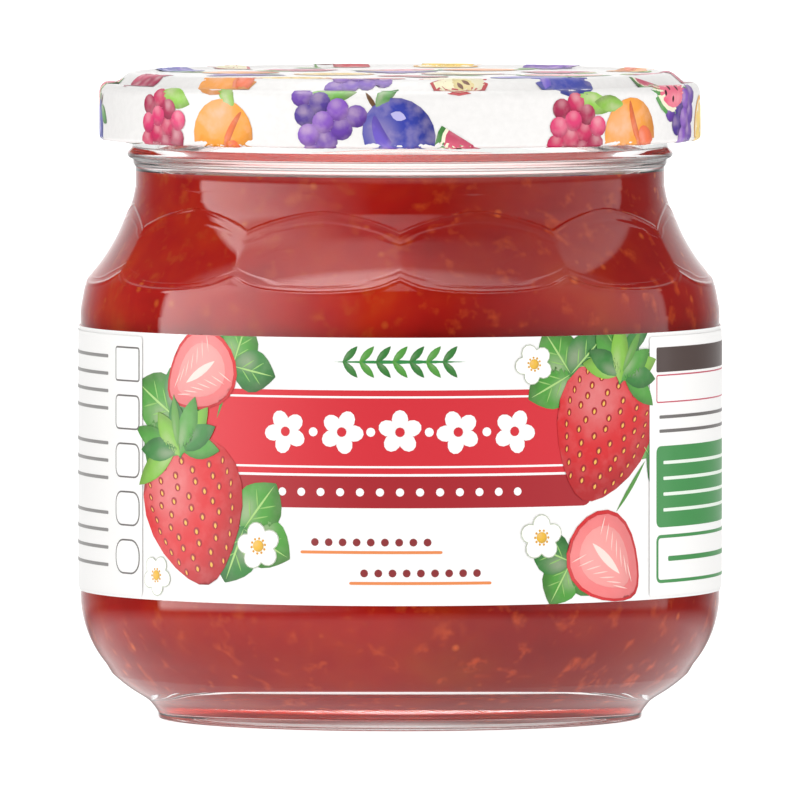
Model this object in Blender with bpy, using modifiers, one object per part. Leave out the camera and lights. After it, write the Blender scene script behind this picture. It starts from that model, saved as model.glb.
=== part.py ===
"""Jam jar: a squat glass jar with a scalloped shoulder, full of strawberry jam, shut by a printed
metal twist-off cap and wrapped in a paper label.

The jar stands on its foot ring at z = 0 with its axis on +Z. The middle of the label faces -Y.
Sizes are in metres. An outline is a list of (radius, height) points.
"""
import math

import bpy

MM = 0.001

# Layout shared by every piece
SEGMENTS = 44                       # sides of a turned piece, four to each scallop
FRONT_DEGREES = -90.0               # the ridge between two scallops that faces the front
CLEARANCE = 0.3 * MM                # gap between two pieces that touch
MERGE_DISTANCE = 0.01 * MM          # joins the points of a turned piece that meet on its axis
SHARP_DEGREES = 35.0                # edges steeper than this stay sharp in shading

# Glass, outside
BODY_RADIUS = 38.8 * MM
HEEL_RADIUS = 13.0 * MM             # the round from the straight body down to the foot
HEEL_HEIGHT = 15.0 * MM             # where the straight body ends
HEEL_TURN = 40.0                    # degrees that this round turns through
HEEL_TO_FOOT = [                    # the line from this round down to the foot, ever steeper
    (35.05 * MM, 5.46 * MM),
    (33.95 * MM, 4.49 * MM),
    (32.65 * MM, 3.52 * MM),
    (31.1 * MM, 2.55 * MM),
    (30.02 * MM, 1.58 * MM),
    (29.42 * MM, 0.7 * MM),
]
FOOT_RADIUS = 29.15 * MM            # outer edge of the flat ring that the jar stands on
FOOT_ROUND = 0.23 * MM
FOOT_FLAT = 3.25 * MM               # width of that ring
PUNT_RISE = 2.6 * MM                # how far the base inside the ring is pushed up
PUNT_ROUND = 0.7 * MM               # between the ring's inner wall and this base
PUNT_MIDDLE = 3.9 * MM              # height of its middle
NECK_RADIUS = 32.1 * MM
BEAD_RADIUS = 33.1 * MM             # the bead round the neck, just below the cap
BEAD_HEIGHT = 68.3 * MM
BEAD_HALF_WIDTH = 1.0 * MM
BEAD_HALF_FLAT = 0.3 * MM
FINISH_RADIUS = 32.5 * MM           # the plain wall behind the cap's skirt
LIP_TOP = 77.5 * MM
LIP_ROUND = 1.0 * MM

# The turned shoulder before its scallops are pressed in, from the body up to the neck
SHOULDER = [
    (BODY_RADIUS, 49.5 * MM),
    (38.15 * MM, 52.75 * MM),
    (37.2 * MM, 54.6 * MM),
    (35.4 * MM, 57.9 * MM),
    (34.05 * MM, 59.9 * MM),
    (32.65 * MM, 62.3 * MM),
    (NECK_RADIUS, 64.6 * MM),
]
SHOULDER_STEPS = 3                  # steps to each span of the shoulder

# Glass, inside
MOUTH_RADIUS = 29.6 * MM
WALL = 2.5 * MM
SHOULDER_DROP = 0.9 * MM            # how far the inner shoulder lies below the outer one
FLOOR_HEIGHT = 6.5 * MM
FLOOR_DOME = [                      # the floor rises to a low dome, and its middle is flat
    (0.0, 8.1 * MM),
    (8.0 * MM, 8.1 * MM),
    (17.0 * MM, 7.45 * MM),
]
INNER_HEEL_RADIUS = 10.8 * MM

# Scallops: eleven thumb-shaped hollows in a row round the shoulder
SCALLOPS = 11
SCALLOP_ROUND = 22.0 * MM           # radius of a hollow, up and down
SCALLOP_CENTRE = (53.8 * MM, 68.3 * MM)
SCALLOP_TOP = 63.3 * MM
SCALLOP_BOTTOM = 50.5 * MM
SCALLOP_STEPS = 8
SCALLOP_AXIS_BACK = 25.0 * MM       # a hollow is turned about an axis this far behind the jar's
CUTTER_REACH = 44.0 * MM            # how far from the jar's axis a cutter's outer side is
CUTTER_SEGMENTS = 108

# Jam
JAM_TOP = 66.2 * MM

# Cap
CAP_SHEET = 0.3 * MM                # thickness of the metal
CAP_RADIUS = 36.4 * MM
CAP_TOP = 78.5 * MM
CAP_BOTTOM = 70.2 * MM
CAP_PANEL = (30.6 * MM, 78.15 * MM)  # edge of the flat middle
CAP_RING = [                        # the raised ring round the panel and the step outside it
    (31.4 * MM, 78.2 * MM),
    (32.3 * MM, CAP_TOP),
    (33.2 * MM, 78.2 * MM),
    (34.4 * MM, 77.15 * MM),
]
CAP_RING_STEPS = 2                  # steps to each span of the ring
CAP_SHOULDER_ROUND = 1.3 * MM
CAP_SHOULDER_HEIGHT = 75.95 * MM    # where the skirt meets this round
CURL_ROUND = 0.55 * MM              # the rolled edge at the bottom of the skirt
CURL_TURN = 230.0                   # degrees that the edge is rolled through

# Label
LABEL_BOTTOM = 15.6 * MM
LABEL_TOP = 47.7 * MM
LABEL_GAP = 0.15 * MM               # between the glass and the paper
LABEL_PAPER = 0.2 * MM


def arc(centre, radius, start, end, steps):
    """Points on a round, from one angle to another in degrees, 0 outwards and 90 up."""
    points = []
    for step in range(steps + 1):
        angle = math.radians(start + (end - start) * step / steps)
        points.append((centre[0] + radius * math.cos(angle), centre[1] + radius * math.sin(angle)))
    return points


def smooth_line(stations, steps):
    """A Catmull-Rom curve through the stations, with this many steps to each span."""
    ends = [stations[0]] + stations + [stations[-1]]
    points = []
    for span in range(len(stations) - 1):
        corners = ends[span:span + 4]
        for step in range(steps):
            t = step / steps
            point = []
            for before, start, end, after in zip(*corners):
                slope = end - before
                bend = 2 * before - 5 * start + 4 * end - after
                twist = 3 * start - 3 * end + after - before
                point.append(start + 0.5 * (slope * t + bend * t ** 2 + twist * t ** 3))
            points.append(tuple(point))
    points.append(stations[-1])
    return points


def moved_inwards(points, distance):
    """The line moved sideways off itself, towards the jar's axis where it runs up."""
    moved = []
    for index, (radius, height) in enumerate(points):
        before = points[max(index - 1, 0)]
        after = points[min(index + 1, len(points) - 1)]
        run = after[0] - before[0]
        climb = after[1] - before[1]
        length = math.hypot(run, climb)
        moved.append((radius - distance * climb / length, height + distance * run / length))
    return moved


def inner_line():
    """The jar's inside, from the middle of its floor up to the bottom of the neck."""
    heel_centre = (BODY_RADIUS - WALL - INNER_HEEL_RADIUS, FLOOR_HEIGHT + INNER_HEEL_RADIUS)
    points = FLOOR_DOME + arc(heel_centre, INNER_HEEL_RADIUS, -90, 0, 7)
    for radius, height in smooth_line(SHOULDER, SHOULDER_STEPS):
        points.append((radius - WALL, height - SHOULDER_DROP))
    return points


def lip_line():
    """The rounded lip, from the mouth over to the wall that the cap covers."""
    height = LIP_TOP - LIP_ROUND
    points = arc((MOUTH_RADIUS + LIP_ROUND, height), LIP_ROUND, 180, 90, 3)
    points += arc((FINISH_RADIUS - LIP_ROUND, height), LIP_ROUND, 90, 0, 3)
    return points


def bead_line():
    """The bead round the neck, from its top down."""
    return [
        (FINISH_RADIUS, BEAD_HEIGHT + BEAD_HALF_WIDTH),
        (BEAD_RADIUS, BEAD_HEIGHT + BEAD_HALF_FLAT),
        (BEAD_RADIUS, BEAD_HEIGHT - BEAD_HALF_FLAT),
        (NECK_RADIUS, BEAD_HEIGHT - BEAD_HALF_WIDTH),
    ]


def base_line():
    """The foot ring and the pushed-up base, from the heel's round to the axis."""
    points = HEEL_TO_FOOT + [(FOOT_RADIUS + FOOT_ROUND, FOOT_ROUND), (FOOT_RADIUS, 0.0)]
    ring_inside = FOOT_RADIUS - FOOT_FLAT
    points.append((ring_inside, 0.0))
    points.append((ring_inside, PUNT_RISE - PUNT_ROUND))
    points.append((ring_inside - PUNT_ROUND, PUNT_RISE))
    points.append((0.55 * ring_inside, PUNT_RISE + 0.7 * (PUNT_MIDDLE - PUNT_RISE)))
    points.append((0.0, PUNT_MIDDLE))
    return points


def glass_line():
    """The whole glass: up the inside, over the lip, down the outside and in along the base."""
    heel_centre = (BODY_RADIUS - HEEL_RADIUS, HEEL_HEIGHT)
    points = inner_line() + lip_line() + bead_line()
    points += reversed(smooth_line(SHOULDER, SHOULDER_STEPS))
    points += arc(heel_centre, HEEL_RADIUS, 0, -HEEL_TURN, 6)
    points += base_line()
    return points


def jam_line():
    """The jam, from the middle of its top down along the glass to the middle of the floor."""
    side = moved_inwards(inner_line(), CLEARANCE)
    points = [
        (0.0, JAM_TOP),
        (MOUTH_RADIUS - 2 * CLEARANCE, JAM_TOP),
        (MOUTH_RADIUS - CLEARANCE, JAM_TOP - CLEARANCE),
    ]
    points += reversed(side)
    return points


def cap_line():
    """The outside of the cap's sheet: panel, ring, step, shoulder, skirt and rolled edge."""
    points = [(0.0, CAP_PANEL[1]), CAP_PANEL]
    points += smooth_line(CAP_RING, CAP_RING_STEPS)
    shoulder_centre = (CAP_RADIUS - CAP_SHOULDER_ROUND, CAP_SHOULDER_HEIGHT)
    points += arc(shoulder_centre, CAP_SHOULDER_ROUND, 60, 0, 3)
    curl_centre = (CAP_RADIUS - CURL_ROUND, CAP_BOTTOM + CURL_ROUND)
    points += arc(curl_centre, CURL_ROUND, 0, -CURL_TURN, 6)
    return points


def label_line():
    """The label's paper in section."""
    inner = BODY_RADIUS + LABEL_GAP
    outer = inner + LABEL_PAPER
    return [(inner, LABEL_TOP), (outer, LABEL_TOP), (outer, LABEL_BOTTOM), (inner, LABEL_BOTTOM)]


def scallop_line():
    """A cutter's section: the hollow's round on its inner side, straight on the other three."""
    points = []
    for step in range(SCALLOP_STEPS + 1):
        height = SCALLOP_BOTTOM + (SCALLOP_TOP - SCALLOP_BOTTOM) * step / SCALLOP_STEPS
        drop = SCALLOP_CENTRE[1] - height
        radius = SCALLOP_CENTRE[0] - math.sqrt(SCALLOP_ROUND ** 2 - drop ** 2)
        points.append((SCALLOP_AXIS_BACK + radius, height))
    outside = SCALLOP_AXIS_BACK + CUTTER_REACH
    return points + [(outside, SCALLOP_TOP), (outside, SCALLOP_BOTTOM)]


def turned(name, outline, collection, segments=SEGMENTS, closed=False):
    """An object turned from an outline round its own z axis. A closed outline makes a ring."""
    corners = [(radius, 0.0, height) for radius, height in outline]
    edges = [(index, index + 1) for index in range(len(corners) - 1)]
    if closed:
        edges.append((len(corners) - 1, 0))
    mesh = bpy.data.meshes.new(name)
    mesh.from_pydata(corners, edges, [])
    piece = bpy.data.objects.new(name, mesh)
    collection.objects.link(piece)
    screw = piece.modifiers.new("Turn", "SCREW")
    screw.axis = "Z"
    screw.angle = math.tau
    screw.steps = segments
    screw.render_steps = segments
    screw.use_merge_vertices = True
    screw.merge_threshold = MERGE_DISTANCE
    return piece


def cut_scallops(jar, collection):
    """Cut each scallop with a turned ring whose axis is behind the jar's, so it cuts one side."""
    for index in range(SCALLOPS):
        direction = math.radians(FRONT_DEGREES + (index + 0.5) * 360.0 / SCALLOPS)
        name = f"scallop_cutter_{index + 1}"
        cutter = turned(name, scallop_line(), collection, CUTTER_SEGMENTS, closed=True)
        cutter.location.x = -SCALLOP_AXIS_BACK * math.cos(direction)
        cutter.location.y = -SCALLOP_AXIS_BACK * math.sin(direction)
        cutter.rotation_euler.z = direction
        cutter.hide_render = True
        cutter.display_type = "WIRE"
        cut = jar.modifiers.new(name, "BOOLEAN")
        cut.operation = "DIFFERENCE"
        cut.object = cutter


def give_thickness(cap):
    """Turn the cap's outside into a metal sheet, inwards from it."""
    sheet = cap.modifiers.new("Sheet", "SOLIDIFY")
    sheet.thickness = CAP_SHEET
    sheet.offset = -1.0
    sheet.use_even_offset = True


def coloured(name, colour, roughness, metallic=0.0, alpha=1.0):
    """A plain Principled material; the colour is linear."""
    material = bpy.data.materials.new(name)
    material.use_nodes = True
    shader = material.node_tree.nodes["Principled BSDF"]
    shader.inputs["Base Color"].default_value = (*colour, 1.0)
    shader.inputs["Roughness"].default_value = roughness
    shader.inputs["Metallic"].default_value = metallic
    shader.inputs["Alpha"].default_value = alpha
    material.diffuse_color = (*colour, alpha)
    return material


def finish(piece, material):
    """Apply a piece's modifiers, shade it smooth between its sharp edges and colour it."""
    graph = bpy.context.evaluated_depsgraph_get()
    mesh = bpy.data.meshes.new_from_object(piece.evaluated_get(graph))
    mesh.name = piece.name
    piece.modifiers.clear()
    piece.data = mesh
    mesh.shade_smooth()
    mesh.set_sharp_from_angle(angle=math.radians(SHARP_DEGREES))
    mesh.materials.clear()
    mesh.materials.append(material)


def main():
    """Build the jar, its jam, its cap and its label, and turn them to face the front."""
    for leftover in list(bpy.data.objects):
        bpy.data.objects.remove(leftover)
    parts = bpy.data.collections.new("jam_jar")
    tools = bpy.data.collections.new("cutters")
    bpy.context.scene.collection.children.link(parts)
    bpy.context.scene.collection.children.link(tools)

    jar = turned("glass_jar", glass_line(), parts)
    jam = turned("jam", jam_line(), parts)
    cap = turned("lid", cap_line(), parts)
    label = turned("label", label_line(), parts, closed=True)
    cut_scallops(jar, tools)
    give_thickness(cap)
    for piece in (jar, jam, cap, label):
        piece.rotation_euler.z = math.radians(FRONT_DEGREES)
    bpy.context.view_layer.update()

    finish(jar, coloured("clear_glass", (0.82, 0.86, 0.85), 0.03, alpha=0.35))
    finish(jam, coloured("strawberry_jam", (0.27, 0.02, 0.012), 0.15))
    finish(cap, coloured("printed_tinplate", (0.88, 0.87, 0.86), 0.25, metallic=0.1))
    finish(label, coloured("label_paper", (0.85, 0.84, 0.82), 0.45))


main()
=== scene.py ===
# %% [markdown]
# # A jar of strawberry jam
# The jar is a squat, round one of clear moulded glass. Eleven hollows, like thumb prints, run
# round its shoulder. It is shut by a printed tinplate cap and wrapped in a printed paper label.
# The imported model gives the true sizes. This lesson dresses it: every piece is modelled again at
# a finer scale in the same place, and gets the finish of the real one.

# %% Load the frame
import math
import random
from bisect import bisect_right

import bmesh
import bpy
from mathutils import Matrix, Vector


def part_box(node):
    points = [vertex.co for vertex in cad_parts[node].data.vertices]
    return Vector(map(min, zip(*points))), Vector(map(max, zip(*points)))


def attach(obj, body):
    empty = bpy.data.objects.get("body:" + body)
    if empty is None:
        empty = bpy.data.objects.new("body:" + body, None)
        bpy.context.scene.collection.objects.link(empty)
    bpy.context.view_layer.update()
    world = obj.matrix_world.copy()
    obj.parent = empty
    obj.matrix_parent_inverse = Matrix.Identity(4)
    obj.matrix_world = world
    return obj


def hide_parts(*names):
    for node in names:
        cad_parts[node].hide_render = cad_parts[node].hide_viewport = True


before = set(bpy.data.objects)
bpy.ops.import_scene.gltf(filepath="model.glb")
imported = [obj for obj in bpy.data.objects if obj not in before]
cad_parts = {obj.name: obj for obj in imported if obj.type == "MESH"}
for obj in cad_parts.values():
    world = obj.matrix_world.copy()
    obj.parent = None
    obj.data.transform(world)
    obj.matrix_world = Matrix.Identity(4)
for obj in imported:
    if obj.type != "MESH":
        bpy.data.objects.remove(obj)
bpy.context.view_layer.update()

print("nodes:", sorted(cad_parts))

# %% [markdown]
# ## Sizes
# The frame says how wide and how tall each piece is. The stations of the outlines between those
# are sizes of the real jar, in metres, written as pairs of radius and height.

# %% Sizes of the jar, the cap and the label
MM = 0.001
BODY_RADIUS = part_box("glass_jar")[1][0]
LIP_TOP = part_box("glass_jar")[1][2]
CAP_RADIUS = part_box("lid")[1][0]
CAP_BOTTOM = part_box("lid")[0][2]
CAP_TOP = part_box("lid")[1][2]
LABEL_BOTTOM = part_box("label")[0][2]
LABEL_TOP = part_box("label")[1][2]
JAM_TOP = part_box("jam")[1][2]

WALL = 2.5 * MM
SHOULDER_DROP = 0.9 * MM
MOUTH_RADIUS = 29.6 * MM
NECK_RADIUS = 32.1 * MM
FINISH_RADIUS = 32.5 * MM
LIP_ROUND = 1.0 * MM
FLOOR_HEIGHT = 6.5 * MM
FLOOR_DOME = 1.6 * MM
INNER_HEEL_RADIUS = 10.8 * MM
HEEL_RADIUS = 13.0 * MM
HEEL_HEIGHT = 15.0 * MM
HEEL_TURN = 40.0
HEEL_TO_FOOT = [
    (35.05 * MM, 5.46 * MM),
    (33.95 * MM, 4.49 * MM),
    (32.65 * MM, 3.52 * MM),
    (31.1 * MM, 2.55 * MM),
    (30.45 * MM, 2.06 * MM),
    (30.02 * MM, 1.58 * MM),
    (29.65 * MM, 1.09 * MM),
    (29.42 * MM, 0.7 * MM),
]
FOOT_RADIUS = 29.15 * MM
FOOT_ROUND = 0.23 * MM
FOOT_FLAT = 3.25 * MM
PUNT_RISE = 2.6 * MM
PUNT_ROUND = 0.7 * MM
PUNT_DOME = 1.3 * MM
SHOULDER = [
    (BODY_RADIUS, 49.5 * MM),
    (38.15 * MM, 52.75 * MM),
    (37.2 * MM, 54.6 * MM),
    (35.4 * MM, 57.9 * MM),
    (34.05 * MM, 59.9 * MM),
    (32.65 * MM, 62.3 * MM),
    (NECK_RADIUS, 64.6 * MM),
]
BEAD = [
    (FINISH_RADIUS, 69.5 * MM),
    (32.53 * MM, 69.3 * MM),
    (32.8 * MM, 68.95 * MM),
    (33.05 * MM, 68.65 * MM),
    (33.1 * MM, 68.35 * MM),
    (32.95 * MM, 68.1 * MM),
    (32.6 * MM, 67.9 * MM),
    (32.42 * MM, 67.7 * MM),
    (32.38 * MM, 67.3 * MM),
    (32.2 * MM, 67.05 * MM),
    (NECK_RADIUS, 66.8 * MM),
]
print("jar", round(2 * BODY_RADIUS / MM, 1), "mm across,", round(CAP_TOP / MM, 1), "mm tall")

# %% [markdown]
# ## Outlines
# A turned piece is drawn as half of its section. A round stretch is an arc, and a stretch that
# swells and sinks is a smooth curve through a few stations, as a draughtsman would bend a spline.


# %% Arcs and smooth lines
def arc(centre, radius, start, end, steps):
    """Points on a round, from one angle to another in degrees, 0 outwards and 90 up."""
    points = []
    for step in range(steps + 1):
        angle = math.radians(start + (end - start) * step / steps)
        points.append((centre[0] + radius * math.cos(angle), centre[1] + radius * math.sin(angle)))
    return points


def smooth_line(stations, steps):
    """A Catmull-Rom curve through the stations, with this many steps to each span."""
    ends = [stations[0]] + stations + [stations[-1]]
    points = []
    for span in range(len(stations) - 1):
        corners = ends[span:span + 4]
        for step in range(steps):
            t = step / steps
            point = []
            for before, start, end, after in zip(*corners):
                slope = end - before
                bend = 2 * before - 5 * start + 4 * end - after
                twist = 3 * start - 3 * end + after - before
                point.append(start + 0.5 * (slope * t + bend * t ** 2 + twist * t ** 3))
            points.append(tuple(point))
    points.append(stations[-1])
    return points


def straight(start, end, steps):
    """Points along a straight stretch, without its end."""
    return [tuple(a + (b - a) * step / steps for a, b in zip(start, end)) for step in range(steps)]


def dome(middle, edge, steps):
    """Points along a low dome, from its middle towards its edge, without the edge."""
    points = []
    for step in range(steps):
        part = step / steps
        points.append((edge[0] * part, middle[1] + (edge[1] - middle[1]) * part ** 2))
    return points


# %% [markdown]
# ## From a mesh to a piece
# Every piece goes through the same last steps: it becomes an object at the origin, it is shaded
# smooth up to its sharp edges, it gets its materials, it rides on the part's one body, and the
# imported node that it stands for is hidden.


# %% Turn an outline, and hand a piece over
SHARP_DEGREES = 35.0


def turned(outline, segments):
    """A closed shape spun round the z axis from an outline whose ends are on the axis."""
    shape = bmesh.new()
    corners = [shape.verts.new((radius, 0.0, height)) for radius, height in outline]
    edges = [shape.edges.new(pair) for pair in zip(corners, corners[1:])]
    bmesh.ops.spin(
        shape, geom=corners + edges, cent=(0, 0, 0), axis=(0, 0, 1), dvec=(0, 0, 0),
        angle=math.tau, steps=segments, use_merge=True, use_normal_flip=False, use_duplicate=False,
    )
    poles = [corner for corner in shape.verts if corner.co.xy.length < 0.001 * MM]
    bmesh.ops.remove_doubles(shape, verts=poles, dist=0.001 * MM)
    bmesh.ops.recalc_face_normals(shape, faces=shape.faces[:])
    return shape


def piece(shape, name, materials, node=None):
    """The shape as an object of the part."""
    mesh = bpy.data.meshes.new(name)
    shape.to_mesh(mesh)
    shape.free()
    mesh.shade_smooth()
    mesh.set_sharp_from_angle(angle=math.radians(SHARP_DEGREES))
    for material in materials:
        mesh.materials.append(material)
    made = bpy.data.objects.new(name, mesh)
    bpy.context.scene.collection.objects.link(made)
    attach(made, "root")
    if node:
        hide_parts(node)
    triangles = sum(len(polygon.vertices) - 2 for polygon in mesh.polygons)
    print(name, "has", triangles, "triangles")
    return made


# %% [markdown]
# ## Colours and nodes
# Colours are given as sRGB hex values, and shaders want them linear, so one function
# turns them. One more adds a node, sets it and links it, which keeps each material short.


# %% Colours and nodes
def linear(hex_colour):
    """An sRGB hex colour as the linear colour that a shader wants."""
    channels = []
    for start in (1, 3, 5):
        value = int(hex_colour[start:start + 2], 16) / 255
        channels.append(value / 12.92 if value <= 0.04045 else ((value + 0.055) / 1.055) ** 2.4)
    return (*channels, 1.0)


def node(tree, kind, inputs=None, **settings):
    """Add a node; an input that is another node's socket is linked, and any other is set."""
    made = tree.nodes.new("ShaderNode" + kind)
    for name, value in settings.items():
        setattr(made, name, value)
    for name, value in (inputs or {}).items():
        if isinstance(value, bpy.types.NodeSocket):
            tree.links.new(value, made.inputs[name])
        else:
            made.inputs[name].default_value = value
    return made


def material(name, **constants):
    """A new material with its Principled shader set, and its tree and shader."""
    made = bpy.data.materials.new(name)
    made.use_nodes = True
    shader = made.node_tree.nodes["Principled BSDF"]
    for socket, value in constants.items():
        shader.inputs[socket.replace("_", " ")].default_value = value
    return made, made.node_tree, shader


def ramp(tree, factor, stops, interpolation="LINEAR"):
    """A colour ramp through (position, colour) stops, as its colour socket."""
    made = node(tree, "ValToRGB", {"Fac": factor})
    made.color_ramp.interpolation = interpolation
    while len(made.color_ramp.elements) < len(stops):
        made.color_ramp.elements.new(0.5)
    for element, (position, colour) in zip(made.color_ramp.elements, stops):
        element.position = position
        element.color = colour
    return made.outputs["Color"]


def mixed(tree, factor, first, second, blend="MIX"):
    """Two colours mixed, as a colour socket."""
    made = node(tree, "Mix", {0: factor, 6: first, 7: second}, data_type="RGBA", blend_type=blend)
    return made.outputs[2]


# %% [markdown]
# ## The glass
# Soda-lime glass blown into a mould is clear and hard, with an index near 1.52. Its surface is
# never quite true: it is a little wavy from the mould, at a scale of about a centimetre.

# %% Glass finish
WAVE_LENGTH = 9.0 * MM
WAVE_HEIGHT = 0.004 * MM
EDGE_LINE_WIDTH = 0.4 * MM
EDGE_LINE_HEIGHT = 0.1 * MM
SECOND_LINE_INSIDE = 1.15 * MM
SECOND_LINE_HEIGHT = 0.035 * MM
GLASS_INDEX = 1.52
glass, tree, shader = material("soda_lime_glass_moulded", Roughness=0.0, IOR=GLASS_INDEX,
                               Transmission_Weight=1.0)
shader.inputs["Base Color"].default_value = linear("#FDFFFE")
place = node(tree, "TexCoord")
waves = node(tree, "TexNoise", {"Vector": place.outputs["Object"], "Scale": 1 / WAVE_LENGTH, "Detail": 1.0})
relief = node(tree, "Bump", {"Height": waves.outputs["Fac"], "Strength": 1.0, "Distance": WAVE_HEIGHT})
edge = node(tree, "Attribute", attribute_name="edge")
away = node(tree, "Math", {0: edge.outputs["Fac"]}, operation="ABSOLUTE")
bead = node(tree, "MapRange", {
    "Value": away.outputs[0], "From Min": 0.0, "From Max": EDGE_LINE_WIDTH, "To Min": 1.0, "To Max": 0.0,
}, interpolation_type="SMOOTHSTEP")
line = node(tree, "Bump", {
    "Height": bead.outputs[0], "Strength": 1.0, "Distance": EDGE_LINE_HEIGHT,
    "Normal": relief.outputs["Normal"],
})
from_second = node(tree, "Math", {0: edge.outputs["Fac"], 1: SECOND_LINE_INSIDE}, operation="SUBTRACT")
off_second = node(tree, "Math", {0: from_second.outputs[0]}, operation="ABSOLUTE")
ripple = node(tree, "MapRange", {
    "Value": off_second.outputs[0], "From Min": 0.0, "From Max": EDGE_LINE_WIDTH,
    "To Min": 1.0, "To Max": 0.0,
}, interpolation_type="SMOOTHSTEP")
second = node(tree, "Bump", {
    "Height": ripple.outputs[0], "Strength": 1.0, "Distance": SECOND_LINE_HEIGHT,
    "Normal": line.outputs["Normal"],
})
tree.links.new(second.outputs["Normal"], shader.inputs["Normal"])
print("glass waves", WAVE_LENGTH / MM, "mm long")

# %% [markdown]
# ## The jar's shape
# The jar is one outline turned round the axis: up the inside, over the lip, down the outside and
# in along the base. The scallops aren't cut out. Each point of the shoulder is moved in to
# the nearer of two surfaces, the turned shoulder and a hollow, with a soft corner between
# them. That gives the rounded edges that a mould leaves, and clean faces for the light to run on.

# %% The outline of the glass
SEGMENTS = 484
SCALLOPS = 11
SECTOR = SEGMENTS // SCALLOPS
FLOOR_STEPS = 6
SHOULDER_STEPS = 13
inner_heel = (BODY_RADIUS - WALL - INNER_HEEL_RADIUS, FLOOR_HEIGHT + INNER_HEEL_RADIUS)
inside = dome((0.0, FLOOR_HEIGHT + FLOOR_DOME), (inner_heel[0], FLOOR_HEIGHT), FLOOR_STEPS)
inside += arc(inner_heel, INNER_HEEL_RADIUS, -90, 0, 14)
inside += [(radius - WALL, height - SHOULDER_DROP) for radius, height in smooth_line(SHOULDER, 3)]
lip_height = LIP_TOP - LIP_ROUND
lip = arc((MOUTH_RADIUS + LIP_ROUND, lip_height), LIP_ROUND, 180, 90, 5)
lip += arc((FINISH_RADIUS - LIP_ROUND, lip_height), LIP_ROUND, 90, 0, 5)
heel = arc((BODY_RADIUS - HEEL_RADIUS, HEEL_HEIGHT), HEEL_RADIUS, 0, -HEEL_TURN, 10)
ring_inside = FOOT_RADIUS - FOOT_FLAT
base = smooth_line(HEEL_TO_FOOT, 4)
base += arc((FOOT_RADIUS, FOOT_ROUND), FOOT_ROUND, 0, -90, 5)
base += [(ring_inside, 0.0)]
base += arc((ring_inside - PUNT_ROUND, PUNT_RISE - PUNT_ROUND), PUNT_ROUND, 0, 90, 5)
base += dome((0.0, PUNT_RISE + PUNT_DOME), (ring_inside - PUNT_ROUND - 1.0 * MM, PUNT_RISE), 6)[::-1]
glass_outline = inside + lip + smooth_line(BEAD, 4)
glass_outline += smooth_line(SHOULDER, SHOULDER_STEPS)[::-1] + heel + base
print("glass outline of", len(glass_outline), "points")

# %% Press the scallops into the shoulder
SCALLOP_ROUND = 22.0 * MM
SCALLOP_CENTRE = (53.8 * MM, 68.3 * MM)
SCALLOP_TOP = 63.3 * MM
SCALLOP_AXIS_BACK = 25.0 * MM
EDGE_SOFTNESS = 0.1 * MM
RIDGE_SOFTNESS = 0.05 * MM
FRONT = math.radians(-90)


def hollow(turn, height):
    """The radius of a hollow, at this angle from its middle and this height."""
    drop = SCALLOP_CENTRE[1] - height
    middle = SCALLOP_CENTRE[0] - math.sqrt(SCALLOP_ROUND ** 2 - drop ** 2)
    reach = SCALLOP_AXIS_BACK + middle
    across = SCALLOP_AXIS_BACK * math.sin(turn)
    return math.sqrt(reach ** 2 - across ** 2) - SCALLOP_AXIS_BACK * math.cos(turn)


def softer_minimum(first, second, softness):
    """The smaller of two values, rounded where they cross."""
    near = max(softness - abs(first - second), 0.0) / softness
    return min(first, second) - near ** 2 * softness / 4


def shoulder_radius(height):
    """The turned shoulder's radius at a height."""
    line = smooth_line(SHOULDER, SHOULDER_STEPS)
    for (low_radius, low), (high_radius, high) in zip(line, line[1:]):
        if low <= height <= high:
            return low_radius + (high_radius - low_radius) * (height - low) / (high - low)
    return line[0][0] if height < line[0][1] else line[-1][0]


def pressed_in(angle, height, radius):
    """The shoulder's radius once the hollows are pressed in, and how deep the nearest one is."""
    step = math.tau / SCALLOPS
    turn = (angle - FRONT) % step - step / 2
    nearest = hollow(turn, height)
    beside = hollow(step - abs(turn), height)
    pressed = softer_minimum(nearest, beside, RIDGE_SOFTNESS)
    return softer_minimum(radius, pressed, EDGE_SOFTNESS), radius - nearest


def edge_away(angle, height, radius, depth):
    """How far a point is from a scallop's border, above zero inside it."""
    above = pressed_in(angle, height + PROBE, shoulder_radius(height + PROBE))[1]
    beside = pressed_in(angle + PROBE / radius, height, radius)[1]
    slope = math.hypot(above - depth, beside - depth) / PROBE
    return depth / max(slope, 0.02)


PROBE = 0.05 * MM
jar_shape = turned(glass_outline, SEGMENTS)
edge_layer = jar_shape.verts.layers.float.new("edge")
sector_at = {}
for corner in jar_shape.verts:
    corner[edge_layer] = -1.0
    radius = corner.co.xy.length
    height = corner.co.z
    outside = radius > NECK_RADIUS - 0.001 * MM
    if outside and SHOULDER[0][1] - 0.5 * MM < height < SHOULDER[-1][1] + 0.5 * MM:
        angle = math.atan2(corner.co.y, corner.co.x)
        place = (round((angle - FRONT) * SEGMENTS / math.tau) % SECTOR, round(height / MM, 3))
        if place not in sector_at:
            wanted, depth = pressed_in(angle, height, radius)
            sector_at[place] = (wanted, edge_away(angle, height, radius, depth))
        wanted, corner[edge_layer] = sector_at[place]
        if SHOULDER[0][1] < height < SCALLOP_TOP:
            corner.co.xy *= wanted / radius
piece(jar_shape, "glass", [glass], "glass_jar")
print("scallops pressed in with", len(sector_at), "points of one sector")
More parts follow.
